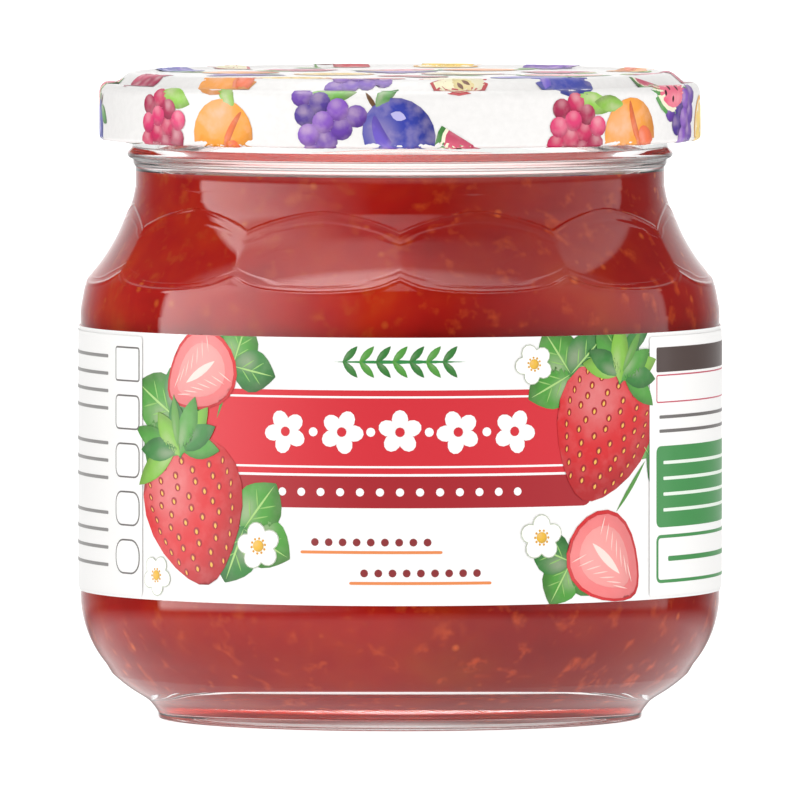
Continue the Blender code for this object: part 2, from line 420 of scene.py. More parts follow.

# %% [markdown]
# ## The jam
# Strawberry jam is a thick red syrup with soft lumps, fibres and seeds in it. Through the glass it
# looks deep red, with lighter, more orange places where a lump lies near the wall. The fill
# reaches a little way into the glass, so that no film of air shows between them. Where it meets
# the glass, its index is 1.45 beside the glass's 1.52, so light that grazes it is turned back.
# Its open top meets air and shines wet. The right side and the heel get painted shade: their colour is
# darkened.

# %% Jam finish
LUMP = 11.0 * MM
PULP = 2.4 * MM
SEED = 3.0 * MM
JAM_INDEX = 1.45
# Painted shade: these multipliers darken the jam's colour on its right side and near its heel.
RIGHT_SHADE = (0.72, 0.62, 0.6, 1.0)
LOW_SHADE = (0.66, 0.68, 0.6, 1.0)
jam_red, tree, shader = material("strawberry_jam_set", Roughness=0.05, IOR=JAM_INDEX / GLASS_INDEX)
place = node(tree, "TexCoord")
spot = place.outputs["Object"]
clouds = node(tree, "TexNoise", {"Vector": spot, "Scale": 1 / LUMP, "Detail": 3.0, "Roughness": 0.55})
body = ramp(tree, clouds.outputs["Fac"], [
    (0.30, linear("#CE1F18")),
    (0.45, linear("#DE261C")),
    (0.60, linear("#E83A1A")),
    (0.75, linear("#F0561E")),
])
along = node(tree, "SeparateXYZ", {"Vector": spot})
# Painted shade: the colour darkens towards the jam's right side, fully from 9 mm right of the axis.
right_shade_mask = node(tree, "MapRange", {
    "Value": along.outputs["X"], "From Min": -4.0 * MM, "From Max": 9.0 * MM, "To Min": 0.0, "To Max": 1.0,
}, interpolation_type="SMOOTHSTEP")
body = mixed(tree, right_shade_mask.outputs[0], body, mixed(tree, 1.0, body, RIGHT_SHADE, "MULTIPLY"))
# Painted shade: the colour darkens from 17 mm high downwards, fully below 9 mm.
low = node(tree, "MapRange", {
    "Value": along.outputs["Z"], "From Min": 9.0 * MM, "From Max": 17.0 * MM, "To Min": 1.0, "To Max": 0.0,
}, interpolation_type="SMOOTHSTEP")
body = mixed(tree, low.outputs[0], body, mixed(tree, 1.0, body, LOW_SHADE, "MULTIPLY"))
pulp = node(tree, "TexNoise", {"Vector": spot, "Scale": 1 / PULP, "Detail": 3.0, "Roughness": 0.55})
pulp_mask = ramp(tree, pulp.outputs["Fac"], [(0.56, (0, 0, 0, 1)), (0.74, (0.8, 0.8, 0.8, 1))])
body = mixed(tree, pulp_mask, body, linear("#EA5A24"))
cells = node(tree, "TexVoronoi", {"Vector": spot, "Scale": 1 / SEED, "Randomness": 1.0})
seed_mask = ramp(tree, cells.outputs["Distance"], [(0.05, (1, 1, 1, 1)), (0.2, (0, 0, 0, 1))])
picked = node(tree, "Math", {0: cells.outputs["Color"], 1: 0.62}, operation="GREATER_THAN")
seed_part = node(tree, "Math", {0: seed_mask, 1: picked.outputs[0]}, operation="MULTIPLY")
body = mixed(tree, seed_part.outputs[0], body, linear("#F4702E"))
tree.links.new(body, shader.inputs["Base Color"])
jam_wet = jam_red.copy()
jam_wet.name = "strawberry_jam_wet_top"
wet = jam_wet.node_tree.nodes["Principled BSDF"]
wet.inputs["IOR"].default_value = JAM_INDEX
print("jam lumps", round(LUMP / MM), "mm across, pulp", round(PULP / MM, 1), "mm")

# %% The jam's shape
INTO_WALL = 0.2 * MM
MENISCUS = 0.45 * MM
fill = [(radius, height - INTO_WALL) for radius, height in inside[:FLOOR_STEPS + 1]]
fill += [(radius + INTO_WALL, height) for radius, height in inside[FLOOR_STEPS + 3:]]
top_edge = MOUTH_RADIUS + INTO_WALL
surface = [
    (top_edge, JAM_TOP + MENISCUS),
    (top_edge - 0.6 * MM, JAM_TOP + 0.35 * MENISCUS),
    (top_edge - 1.5 * MM, JAM_TOP),
]
surface += straight((top_edge - 2.5 * MM, JAM_TOP), (0.0, JAM_TOP), 12) + [(0.0, JAM_TOP)]
jam_shape = turned(fill + surface, 242)
for face in jam_shape.faces:
    face.material_index = int(face.calc_center_median().z > JAM_TOP - 0.01 * MM)
piece(jam_shape, "jam_fill", [jam_red, jam_wet], "jam")

# %% [markdown]
# ## The cap
# The cap is tinplate 0.2 mm thick, printed flat in white enamel and inks under a clear
# varnish, and then drawn to shape. Its outline runs from the panel over the ring and the step,
# round the shoulder, down the skirt and into the rolled edge.

# %% Enamel finish
enamel, tree, shader = material("white_enamel_on_tinplate", Roughness=0.35, Coat_Weight=0.1,
                                Coat_Roughness=0.1)
place = node(tree, "TexCoord")
peel = node(tree, "TexNoise", {"Vector": place.outputs["Object"], "Scale": 1 / (0.8 * MM), "Detail": 2.0})
shade = ramp(tree, peel.outputs["Fac"], [(0.3, linear("#EBE9E7")), (0.7, linear("#F0EEEC"))])
relief = node(tree, "Bump", {"Height": peel.outputs["Fac"], "Strength": 0.5, "Distance": 0.004 * MM})
tree.links.new(shade, shader.inputs["Base Color"])
tree.links.new(relief.outputs["Normal"], shader.inputs["Normal"])
print("enamel peel 0.8 mm")

# %% The cap's shape
CAP_SHEET = 0.3 * MM
PRINT_ROOM = 0.12 * MM
CAP_PANEL = (30.6 * MM, CAP_TOP - 0.35 * MM - PRINT_ROOM)
CAP_RING = [
    CAP_PANEL,
    (31.4 * MM, CAP_TOP - 0.3 * MM - PRINT_ROOM),
    (32.3 * MM, CAP_TOP - PRINT_ROOM),
    (33.2 * MM, CAP_TOP - 0.3 * MM - PRINT_ROOM),
    (34.4 * MM, CAP_TOP - 1.35 * MM - PRINT_ROOM),
]
CAP_SHOULDER_ROUND = 1.3 * MM
CAP_SHOULDER_HEIGHT = 75.95 * MM
CURL_ROUND = 0.55 * MM
CURL_TURN = 230
cap_outline = straight((0.0, CAP_PANEL[1]), CAP_PANEL, 6) + smooth_line(CAP_RING, 4)
cap_outline += arc((CAP_RADIUS - CAP_SHOULDER_ROUND, CAP_SHOULDER_HEIGHT), CAP_SHOULDER_ROUND, 60, 0, 8)
cap_outline += arc((CAP_RADIUS - CURL_ROUND, CAP_BOTTOM + CURL_ROUND), CURL_ROUND, 0, -CURL_TURN, 14)
cap_shape = turned(cap_outline, 264)
bmesh.ops.solidify(cap_shape, geom=cap_shape.faces[:], thickness=CAP_SHEET)
piece(cap_shape, "cap", [enamel], "lid")

# %% [markdown]
# ## The label
# The label is a strip of coated paper, wrapped once round the jar and glued over its own end at
# the back. It is made flat, as paper is, and then wrapped: the distance along the
# strip becomes an angle round the jar.

# %% Paper finish
paper, tree, shader = material("coated_label_paper", Roughness=0.42, Coat_Weight=0.15, Coat_Roughness=0.2)
place = node(tree, "TexCoord")
fibre = node(tree, "TexNoise", {"Vector": place.outputs["Object"], "Scale": 1 / (0.35 * MM), "Detail": 3.0})
shade = ramp(tree, fibre.outputs["Fac"], [(0.3, linear("#F4F3F1")), (0.7, linear("#F9F8F7"))])
tree.links.new(shade, shader.inputs["Base Color"])
print("paper fibre 0.35 mm")

# %% Wrap a flat strip round the jar
PAPER = 0.1 * MM
PAPER_RADIUS = BODY_RADIUS + 0.05 * MM + PAPER
OVERLAP = 5.0 * MM
LABEL_HEIGHT = LABEL_TOP - LABEL_BOTTOM
label_length = math.tau * PAPER_RADIUS + OVERLAP


def on_label(along, up, proud):
    """The place on the label's face: along from its middle, up from its bottom, proud of it."""
    over = (along - (label_length / 2 - 2 * OVERLAP)) / OVERLAP
    lift = PAPER * 1.1 * min(max(over, 0.0), 1.0)
    angle = FRONT + along / PAPER_RADIUS
    radius = PAPER_RADIUS + lift + proud
    return (radius * math.cos(angle), radius * math.sin(angle), LABEL_BOTTOM + up)


label_shape = bmesh.new()
bmesh.ops.create_grid(label_shape, x_segments=264, y_segments=6, size=0.5)
for corner in label_shape.verts:
    corner.co = on_label(corner.co.x * label_length, (corner.co.y + 0.5) * LABEL_HEIGHT, 0.0)
bmesh.ops.recalc_face_normals(label_shape, faces=label_shape.faces[:])
bmesh.ops.solidify(label_shape, geom=label_shape.faces[:], thickness=PAPER)
piece(label_shape, "label_sheet", [paper], "label")

# %% [markdown]
# ## How the print is made
# The cap and the label are printed in many inks. Each stroke of ink is modelled as a thin closed
# dab: a small ball is pressed flat, its disc is bent into the outline of a berry or a leaf, and it
# is laid on the curved surface. A stroke's colour travels with it as a colour attribute, so one
# ink serves them all. Its alpha says how much a stroke is shaded, as a painter rounds a fruit.


# %% Outlines of the strokes
def round_dab(u, v):
    """A point of the unit disc, left where it is."""
    return u, v


def leaf_dab(u, v):
    """Pointed at both ends."""
    return u, v * math.sqrt(max(1 - u * u, 0.0))


def berry_dab(u, v):
    """Broad at the top and narrow at the bottom."""
    return u * (0.95 + 0.28 * v - 0.08 * v * v), v


def pear_dab(u, v):
    """Heavy at the bottom with a narrow neck."""
    return u * (0.76 - 0.36 * v), v


def half_dab(u, v):
    """The upper half of a disc."""
    return u, (v + math.sqrt(max(1 - u * u, 0.0))) / 2


def moon_dab(u, v):
    """A bow with its ends turned down."""
    return u, 0.5 * v - 0.6 * u * u + 0.3


# %% Lay a stroke of ink
INK = 0.01 * MM
LAYER = 0.014 * MM
DAB_STEP = 0.5 * MM


def new_print():
    """An empty print, with room for the colours and for each dab's own disc."""
    shape = bmesh.new()
    shape.verts.layers.float_color.new("ink")
    shape.loops.layers.uv.new("UVMap")
    return shape


def lay_stroke(shape, put, spot, size, lean, stroke, base=0):
    """Press a ball flat, bend it to a stroke's outline, and put it on a surface."""
    layer, outline, x, y, half_width, half_height, turn, colour, shading = stroke
    reach = max(half_width, half_height) * size
    rings = min(max(round(reach / DAB_STEP), 2), 8)
    spokes = min(8 + 2 * rings, 22)
    ball = bmesh.ops.create_uvsphere(shape, u_segments=spokes, v_segments=2 * rings, radius=1.0)
    colours = shape.verts.layers.float_color["ink"]
    disc_map = shape.loops.layers.uv["UVMap"]
    turned_by = (math.cos(math.radians(turn)), math.sin(math.radians(turn)))
    leant_by = (math.cos(math.radians(lean)), math.sin(math.radians(lean)))
    ink_colour = (*linear(colour)[:3], shading)
    for corner in ball["verts"]:
        flat = max(corner.co.xy.length, 0.000001)
        out = math.acos(min(abs(corner.co.z), 1.0)) / (math.pi / 2)
        u, v = corner.co.x / flat * out, corner.co.y / flat * out
        bent_x, bent_y = outline(u, v)
        bent_x, bent_y = bent_x * half_width, bent_y * half_height
        right = x + turned_by[0] * bent_x - turned_by[1] * bent_y
        up = y + turned_by[1] * bent_x + turned_by[0] * bent_y
        along = spot[0] + size * (leant_by[0] * right - leant_by[1] * up)
        rise = spot[1] + size * (leant_by[1] * right + leant_by[0] * up)
        proud = (base + layer) * LAYER + (INK if corner.co.z > 0.01 else 0.0)
        corner.co = put(along, rise, proud)
        corner[colours] = ink_colour
        for loop in corner.link_loops:
            loop[disc_map].uv = (u, v)


def add_patch(shape, patch):
    """Add a small finished print to a larger one."""
    sheet = bpy.data.meshes.new("patch")
    patch.to_mesh(sheet)
    patch.free()
    shape.from_mesh(sheet)
    bpy.data.meshes.remove(sheet)


def lay_motif(shape, put, spot, size, lean, strokes, base=0):
    """Lay all the strokes of a motif, leant by some degrees."""
    for stroke in strokes:
        patch = new_print()
        lay_stroke(patch, put, spot, size, lean, stroke, base)
        add_patch(shape, patch)


# %% [markdown]
# ## Ink
# Offset ink under varnish is smooth and slightly glossy. The fruits look as if painted in
# watercolour: paler where the light falls, deeper at the far edge, and mottled where the wash dried.

# %% Ink finish
def ink_finish(name, wash_strength, lit_strength):
    """A varnished ink in the strokes' colours, mottled and lit by these amounts."""
    made, tree, shader = material(name, Roughness=0.35, Coat_Weight=0.1, Coat_Roughness=0.1)
    place = node(tree, "TexCoord")
    colour = node(tree, "Attribute", attribute_name="ink")
    away = node(tree, "VectorMath", {0: place.outputs["UV"], 1: (-0.35, 0.4, 0.0)}, operation="DISTANCE")
    lit = node(tree, "MapRange", {
        "Value": away.outputs["Value"], "From Min": 0.05, "From Max": 0.75,
        "To Min": lit_strength, "To Max": 0.0,
    }, interpolation_type="SMOOTHSTEP")
    deep = node(tree, "MapRange", {
        "Value": away.outputs["Value"], "From Min": 0.75, "From Max": 1.45, "To Min": 0.0, "To Max": 0.5,
    }, interpolation_type="SMOOTHSTEP")
    wash = node(tree, "TexNoise", {"Vector": place.outputs["Object"], "Scale": 1 / WASH, "Detail": 3.0})
    wash_part = node(tree, "MapRange", {
        "Value": wash.outputs["Fac"], "From Min": 0.45, "From Max": 0.7,
        "To Min": 0.0, "To Max": wash_strength,
    })
    pale = node(tree, "Math", {0: lit.outputs[0], 1: wash_part.outputs[0]}, operation="ADD")
    pale_part = node(tree, "Math", {0: pale.outputs[0], 1: colour.outputs["Alpha"]}, operation="MULTIPLY")
    deep_part = node(tree, "Math", {0: deep.outputs[0], 1: colour.outputs["Alpha"]}, operation="MULTIPLY")
    darker = mixed(tree, deep_part.outputs[0], colour.outputs["Color"], (0.3, 0.22, 0.28, 1.0), "MULTIPLY")
    painted = mixed(tree, pale_part.outputs[0], darker, linear("#FFE4E2"))
    tree.links.new(painted, shader.inputs["Base Color"])
    return made


WASH = 1.7 * MM
cap_ink = ink_finish("offset_ink_watercolour", 0.16, 0.22)
label_ink = ink_finish("offset_ink_varnished", 0.05, 0.2)
print("wash", round(WASH / MM, 1), "mm")


# %% [markdown]
# ## The cap's print
# The cap is scattered with fruit, in about the colours and at about the size of such caps: some
# ten millimetres each, close together, turned every way and running over the edge, since
# the sheet is printed flat before it is drawn. A motif is a short list of strokes: layer, outline,
# place, half sizes, turn, colour and shading, in units of the fruit's half height.

# %% Fruits for the cap
CHERRIES = [
    (0, leaf_dab, -0.05, 0.75, 0.62, 0.05, 62, "#5C8F3C", 0.0),
    (0, leaf_dab, 0.38, 0.65, 0.62, 0.05, 108, "#5C8F3C", 0.0),
    (1, leaf_dab, 0.62, 1.18, 0.45, 0.24, 8, "#7DBB3F", 1.0),
    (1, round_dab, -0.42, -0.12, 0.52, 0.5, 0, "#C20F2A", 1.0),
    (2, round_dab, 0.52, -0.32, 0.52, 0.5, 0, "#A00C22", 1.0),
    (3, leaf_dab, -0.6, 0.1, 0.14, 0.1, 45, "#F3B9BD", 0.0),
    (3, leaf_dab, 0.34, -0.1, 0.14, 0.1, 45, "#E79BA3", 0.0),
]
PLUM = [
    (0, leaf_dab, 0.05, 1.05, 0.3, 0.06, 80, "#6B4A2C", 0.0),
    (1, leaf_dab, 0.5, 0.98, 0.48, 0.2, 12, "#4F9A46", 1.0),
    (1, round_dab, 0.0, 0.0, 0.86, 0.95, 0, "#2C3AA8", 1.0),
    (2, moon_dab, -0.32, 0.0, 0.78, 0.34, 84, "#6E58C6", 0.8),
    (3, leaf_dab, 0.3, 0.35, 0.2, 0.12, 120, "#B9B4E6", 0.0),
]
PEAR_HALF = [
    (0, leaf_dab, 0.06, 1.12, 0.28, 0.07, 75, "#7A4A22", 0.0),
    (1, pear_dab, 0.0, 0.0, 1.0, 1.0, 0, "#B4202A", 0.0),
    (2, pear_dab, 0.0, -0.02, 0.88, 0.9, 0, "#F1EBC6", 0.3),
    (3, berry_dab, 0.0, -0.4, 0.3, 0.34, 180, "#E0CF8A", 0.4),
    (4, leaf_dab, -0.1, -0.42, 0.14, 0.07, 80, "#6A3A1C", 0.0),
    (4, leaf_dab, 0.12, -0.42, 0.14, 0.07, 100, "#6A3A1C", 0.0),
]
APRICOT = [
    (1, leaf_dab, -0.45, 0.98, 0.5, 0.2, 155, "#86B93E", 1.0),
    (1, round_dab, 0.0, 0.0, 0.92, 0.9, 0, "#F29A22", 1.0),
    (2, moon_dab, 0.25, 0.0, 0.8, 0.2, 96, "#E0661C", 0.6),
    (3, round_dab, 0.5, -0.25, 0.24, 0.34, 20, "#EC6A34", 0.6),
]
MELON_WEDGE = [
    (1, half_dab, 0.0, -0.45, 1.15, 1.15, 180, "#4E9B45", 0.8),
    (2, half_dab, 0.0, -0.45, 1.03, 1.02, 180, "#F4EFD2", 0.0),
    (3, half_dab, 0.0, -0.45, 0.94, 0.9, 180, "#EE5C7E", 1.0),
    (4, leaf_dab, -0.45, -0.75, 0.09, 0.06, 70, "#4A1420", 0.0),
    (4, leaf_dab, 0.0, -0.85, 0.09, 0.06, 90, "#4A1420", 0.0),
    (4, leaf_dab, 0.42, -0.72, 0.09, 0.06, 110, "#4A1420", 0.0),
    (4, leaf_dab, 0.2, -1.1, 0.09, 0.06, 100, "#4A1420", 0.0),
    (4, leaf_dab, -0.22, -1.08, 0.09, 0.06, 80, "#4A1420", 0.0),
]


# %% Fruits made of many equal parts
def cluster(rows, radius, colours, leaf):
    """Round berries packed in rows, under a leaf."""
    strokes = [(0, leaf_dab, 0.0, 0.98, 0.55, 0.26, 20, leaf, 1.0)]
    for row, count in enumerate(rows):
        for index in range(count):
            x = (index - (count - 1) / 2) * 1.75 * radius
            y = 0.62 - row * 1.5 * radius
            colour = colours[(row + index) % len(colours)]
            strokes.append((1 + (row + index) % 3, round_dab, x, y, radius, radius, 0, colour, 1.0))
    return strokes


def citrus_slice(rind, flesh):
    """A round slice with its pith and eight segments."""
    strokes = [(1, round_dab, 0.0, 0.0, 0.95, 0.95, 0, rind, 0.3)]
    strokes.append((2, round_dab, 0.0, 0.0, 0.83, 0.83, 0, "#FBF4D8", 0.0))
    for index in range(8):
        turn = index * 45 + 10
        x = 0.42 * math.cos(math.radians(turn))
        y = 0.42 * math.sin(math.radians(turn))
        strokes.append((3, berry_dab, x, y, 0.27, 0.36, turn - 90, flesh, 0.7))
    return strokes


GRAPES = cluster([4, 3, 2, 1], 0.27, ["#6434A4", "#482A90", "#8450BC"], "#6FAE4A")
CRIMSON_BERRY = cluster([3, 4, 3, 2], 0.25, ["#C80E55", "#A80A48", "#DC2C6C"], "#8CC63F")
LEMON_SLICE = citrus_slice("#EFAE2E", "#F6CF4A")
FRUITS = [
    PLUM, APRICOT, CHERRIES, MELON_WEDGE, GRAPES, PEAR_HALF, CRIMSON_BERRY, LEMON_SLICE,
]
print(len(FRUITS), "kinds of fruit")

# %% Scatter the fruits over the cap
FRUIT_HALF = 5.2 * MM
PRINT_CLEAR = 0.035 * MM
cap_path = cap_outline[::-1]
path_at = [0.0]
for (radius, height), (next_radius, next_height) in zip(cap_path, cap_path[1:]):
    path_at.append(path_at[-1] + math.hypot(next_radius - radius, next_height - height))


def on_cap(across, rise, proud):
    """A place on the cap: across round its skirt, and rise along its outline from the rolled edge."""
    rise = min(max(rise, 0.0), path_at[-1] - 0.001 * MM)
    index = bisect_right(path_at, rise) - 1
    length = path_at[index + 1] - path_at[index]
    part = (rise - path_at[index]) / length
    radius, height = cap_path[index]
    run, climb = cap_path[index + 1][0] - radius, cap_path[index + 1][1] - height
    clear = proud + PRINT_CLEAR
    radius += run * part + clear * climb / length
    height += climb * part - clear * run / length
    angle = FRONT + across / CAP_RADIUS
    return (radius * math.cos(angle), radius * math.sin(angle), height)


def on_panel(x, y, proud):
    """A place on the flat middle of the cap."""
    return (x, y, cap_outline[0][1] + proud + PRINT_CLEAR)


luck = random.Random(11)
round_cap = math.tau * CAP_RADIUS
SKIRT_RISE = 3.3 * MM
RING_RISE = 12.6 * MM
skirt_print = new_print()
for row, (count, rise) in enumerate([(21, SKIRT_RISE), (14, RING_RISE)]):
    for index in range(count):
        fruit = FRUITS[(index * 3 + row * 5) % len(FRUITS)]
        across = (index + 0.5 * row + luck.uniform(-0.12, 0.12)) * round_cap / count
        size = FRUIT_HALF * luck.uniform(0.86, 1.0)
        lean = luck.uniform(-50, 50)
        lay_motif(skirt_print, on_cap, (across, rise + luck.uniform(-0.5, 0.6) * MM), size, lean, fruit)
piece(skirt_print, "cap_print_skirt", [cap_ink])

panel_print = new_print()
for ring, count in [(20.5 * MM, 11), (8.0 * MM, 4)]:
    for index in range(count):
        angle = (index + luck.uniform(-0.15, 0.15)) * math.tau / count + ring / MM
        spot = (ring * math.cos(angle), ring * math.sin(angle))
        fruit = FRUITS[(index * 3 + count) % len(FRUITS)]
        lay_motif(panel_print, on_panel, spot, FRUIT_HALF, luck.uniform(0, 360), fruit)
piece(panel_print, "cap_print_panel", [cap_ink])

# %% [markdown]
# ## The label's print
# The label has a wide red field with plain white flowers and a darker band below it, large
# strawberries with leaves and blossom over both its ends, and two side panels of boxes and
# hairlines. The field and the panels are long, so they start as grids whose columns crowd
# together at the rounded corners.


# %% Boxes for the label
def lay_box(shape, middle, half_width, half_height, corner, colour, layer):
    """A closed thin box with rounded corners on the label."""
    patch = new_print()
    columns = 2 * round(half_width / (1.2 * MM)) + 12
    grid = bmesh.ops.create_grid(patch, x_segments=columns, y_segments=1, size=1.0)
    top = layer * LAYER + INK
    for point in grid["verts"]:
        right = half_width * math.sin(point.co.x * math.pi / 2)
        past = max(corner - (half_width - abs(right)), 0.0)
        inset = corner - math.sqrt(max(corner ** 2 - past ** 2, 0.0))
        up = math.copysign(half_height - inset, point.co.y)
        point.co = on_label(middle[0] + right, middle[1] + up, top)
    faces = list({face for point in grid["verts"] for face in point.link_faces})
    for face in faces:
        face.normal_update()
    made = bmesh.ops.solidify(patch, geom=faces, thickness=INK)
    colours = patch.verts.layers.float_color["ink"]
    box_colour = (*linear(colour)[:3], 0.0)
    for point in grid["verts"] + [part for part in made["geom"] if isinstance(part, bmesh.types.BMVert)]:
        point[colours] = box_colour
    add_patch(shape, patch)


def lay_frame(shape, middle, half_width, half_height, line, corner, colour, fill, layer):
    """A box with a border of another colour."""
    lay_box(shape, middle, half_width, half_height, corner, colour, layer)
    inner = max(corner - line, 0.05 * MM)
    lay_box(shape, middle, half_width - line, half_height - line, inner, fill, layer + 1)


# %% Strawberries, slices, blossom and leaves
LEAF_GREENS = ["#4C9A35", "#2F7D30", "#7DB83A"]


def seeds(rows, spread, depth):
    """Places for seeds in a staggered pattern that closes up towards a berry's edges."""
    places = []
    for row in range(rows):
        y = 0.66 - 1.42 * row / (rows - 1)
        chord = math.sqrt(1 - y * y) * (0.95 + 0.28 * y) * spread
        count = max(round(6.6 * chord), 1) + row % 2
        for index in range(count):
            turn = (index - (count - 1) / 2) * 2.3 / count
            places.append((chord * math.sin(turn), y * depth, math.cos(turn)))
    return places


def strawberry(luck):
    """A whole ripe strawberry with its crown."""
    strokes = [(1, berry_dab, 0.0, 0.0, 0.88, 1.0, 0, "#D3131C", 1.0)]
    for x, y, facing in seeds(10, 0.86, 1.0):
        turn = -30 * x
        strokes.append((3, round_dab, x, y + 0.008, 0.042 * facing + 0.008, 0.054, turn, "#A00A1C", 0.0))
        strokes.append((4, leaf_dab, x, y, 0.036, 0.022 * facing, 90 + turn, "#EBB84E", 0.0))
    for index in range(9):
        turn = -20 + index * 27.5 + luck.uniform(-8, 8)
        length = luck.uniform(0.34, 0.5)
        x = length * math.cos(math.radians(turn)) * 0.95
        y = 0.86 + length * math.sin(math.radians(turn)) * 0.6
        colour = LEAF_GREENS[index % 3]
        strokes.append((5 + index % 2, leaf_dab, x, y, length, 0.16, turn, colour, 0.8))
    strokes.append((7, leaf_dab, 0.05, 1.2, 0.34, 0.07, 80, "#5E9A3C", 0.5))
    return strokes


def berry_slice():
    """A strawberry cut in half: a thin red rim, pink flesh and pale fibres round a slim heart."""
    strokes = [
        (1, berry_dab, 0.0, 0.0, 0.88, 1.0, 0, "#D3131C", 0.6),
        (2, berry_dab, 0.0, -0.005, 0.81, 0.93, 0, "#EF7C7C", 0.5),
        (3, berry_dab, 0.0, 0.02, 0.58, 0.7, 0, "#F49C98", 0.4),
        (4, leaf_dab, 0.0, 0.06, 0.46, 0.09, 90, "#FBDDD4", 0.0),
    ]
    for side in (-1, 1):
        for index in range(7):
            y = 0.56 - 0.19 * index
            x = side * (0.42 - 0.04 * index)
            strokes.append((5, leaf_dab, x, y, 0.2, 0.014, 90 - side * (66 - 6 * index), "#FBCFC6", 0.0))
    return strokes


def blossom():
    """A white strawberry flower."""
    strokes = []
    for index in range(5):
        turn = index * 72 + 18
        x = 0.52 * math.cos(math.radians(turn))
        y = 0.52 * math.sin(math.radians(turn))
        strokes.append((index % 2, round_dab, x, y, 0.45, 0.42, turn, "#C9D2BE", 0.2))
        strokes.append((2 + index % 2, round_dab, x, y, 0.41, 0.38, turn, "#FDFCF6", 0.0))
    strokes.append((4, round_dab, 0.0, 0.0, 0.24, 0.24, 0, "#E9B62F", 0.6))
    for index in range(10):
        turn = math.radians(index * 36)
        x, y = 0.3 * math.cos(turn), 0.3 * math.sin(turn)
        strokes.append((5, round_dab, x, y, 0.05, 0.05, 0, "#D99A1E", 0.0))
    return strokes


def trefoil():
    """A strawberry leaf of three leaflets with their veins."""
    strokes = [(0, leaf_dab, 0.0, -0.75, 0.6, 0.045, 90, "#4F8F38", 0.0)]
    for index, turn in enumerate((90, 8, 172)):
        x = 0.55 * math.cos(math.radians(turn))
        y = 0.55 * math.sin(math.radians(turn))
        strokes.append((index % 2, leaf_dab, x, y, 0.62, 0.52, turn, LEAF_GREENS[index % 2], 1.0))
        strokes.append((2, leaf_dab, x, y, 0.56, 0.022, turn, "#A9D27C", 0.0))
        for side in (-1, 1):
            for step in (-0.15, 0.12):
                vein = math.radians(turn)
                vein_x = x + step * math.cos(vein) - side * 0.14 * math.sin(vein)
                vein_y = y + step * math.sin(vein) + side * 0.14 * math.cos(vein)
                strokes.append((2, leaf_dab, vein_x, vein_y, 0.2, 0.016, turn + side * 42, "#8CC063", 0.0))
    return strokes


# %% The red field with its flowers
PAPER_WHITE = "#F7F6F4"
FIELD_RED = "#D31F2E"
BAND_RED = "#A81320"
FIELD = (0.0, 20.8 * MM)
BAND = (0.0, 13.6 * MM)
label_print = new_print()
lay_frame(label_print, FIELD, 27.5 * MM, 5.0 * MM, 0.7 * MM, 2.4 * MM, FIELD_RED, PAPER_WHITE, 0)
lay_box(label_print, FIELD, 26.55 * MM, 4.05 * MM, 1.6 * MM, FIELD_RED, 2)
lay_box(label_print, BAND, 24.5 * MM, 1.9 * MM, 1.2 * MM, BAND_RED, 0)
petals = []
for index in range(5):
    turn = math.radians(index * 72 + 18)
    petals.append((index % 2, round_dab, 0.52 * math.cos(turn), 0.52 * math.sin(turn), 0.4, 0.34,
                   index * 72 + 18, PAPER_WHITE, 0.0))
petals.append((2, round_dab, 0.0, 0.0, 0.2, 0.2, 0, FIELD_RED, 0.0))
spot = [(0, round_dab, 0.0, 0.0, 1.0, 1.0, 0, PAPER_WHITE, 0.0)]
for index in range(-2, 3):
    lay_motif(label_print, on_label, (7.0 * MM * index, FIELD[1]), 2.9 * MM, 24 * index, petals, 3)
for index in range(-2, 2):
    lay_motif(label_print, on_label, (7.0 * MM * (index + 0.5), FIELD[1]), 0.55 * MM, 0, spot, 3)
for index in range(-6, 7):
    lay_motif(label_print, on_label, (2.4 * MM * index, BAND[1]), 0.5 * MM, 0, spot, 1)

# %% Fruit over the ends of the field
luck = random.Random(7)
LEAVES = [
    (-29.5, 22.0, 7.0, 60), (-19.5, 9.0, 6.0, -120), (-21.0, 28.5, 5.0, -20),
    (21.5, 27.5, 5.5, 35), (34.0, 17.5, 6.5, -40), (21.5, 5.0, 5.0, 150), (31.0, 30.0, 5.5, 80),
]
FLOWERS = [(-17.5, 7.0, 3.0, 10), (-33.0, 3.0, 2.6, 40), (17.5, 8.0, 2.9, 0), (16.5, 28.8, 2.6, 25)]
for along, up, size, lean in LEAVES:
    lay_motif(label_print, on_label, (along * MM, up * MM), size * MM, lean, trefoil(), 3)
for along, up, size, lean, strokes in [
    (-27.0, 11.0, 9.2, 16, strawberry(luck)), (-26.0, 27.5, 5.6, -58, berry_slice()),
    (26.5, 20.5, 8.8, -22, strawberry(luck)), (27.0, 5.0, 6.2, 48, berry_slice()),
]:
    lay_motif(label_print, on_label, (along * MM, up * MM), size * MM, lean, strokes, 5)
for along, up, size, lean in FLOWERS:
    lay_motif(label_print, on_label, (along * MM, up * MM), size * MM, lean, blossom(), 6)
print("fruit on the label:", len(label_print.verts), "points")

# %% Sprig, dotted lines and side panels
sprig = [(0, leaf_dab, 0.0, 0.0, 1.0, 0.03, 0, "#2E8A43", 0.0)]
for index in range(-3, 4):
    for side in (-1, 1):
        green = LEAF_GREENS[index % 2]
        sprig.append((1, leaf_dab, 0.25 * index, side * 0.11, 0.17, 0.055, side * 48, green, 0.4))
lay_motif(label_print, on_label, (0.0, 29.2 * MM), 8.0 * MM, 0, sprig)
dark_spot = [(0, round_dab, 0.0, 0.0, 1.0, 1.0, 0, "#8E2A2E", 0.0)]
for along, up in ((-3.5 * MM, 7.6 * MM), (2.5 * MM, 3.9 * MM)):
    lay_box(label_print, (along, up - 1.2 * MM), 8.6 * MM, 0.18 * MM, 0.16 * MM, "#E98A4B", 0)
    for index in range(-4, 5):
        lay_motif(label_print, on_label, (along + 1.7 * MM * index, up), 0.48 * MM, 0, dark_spot)

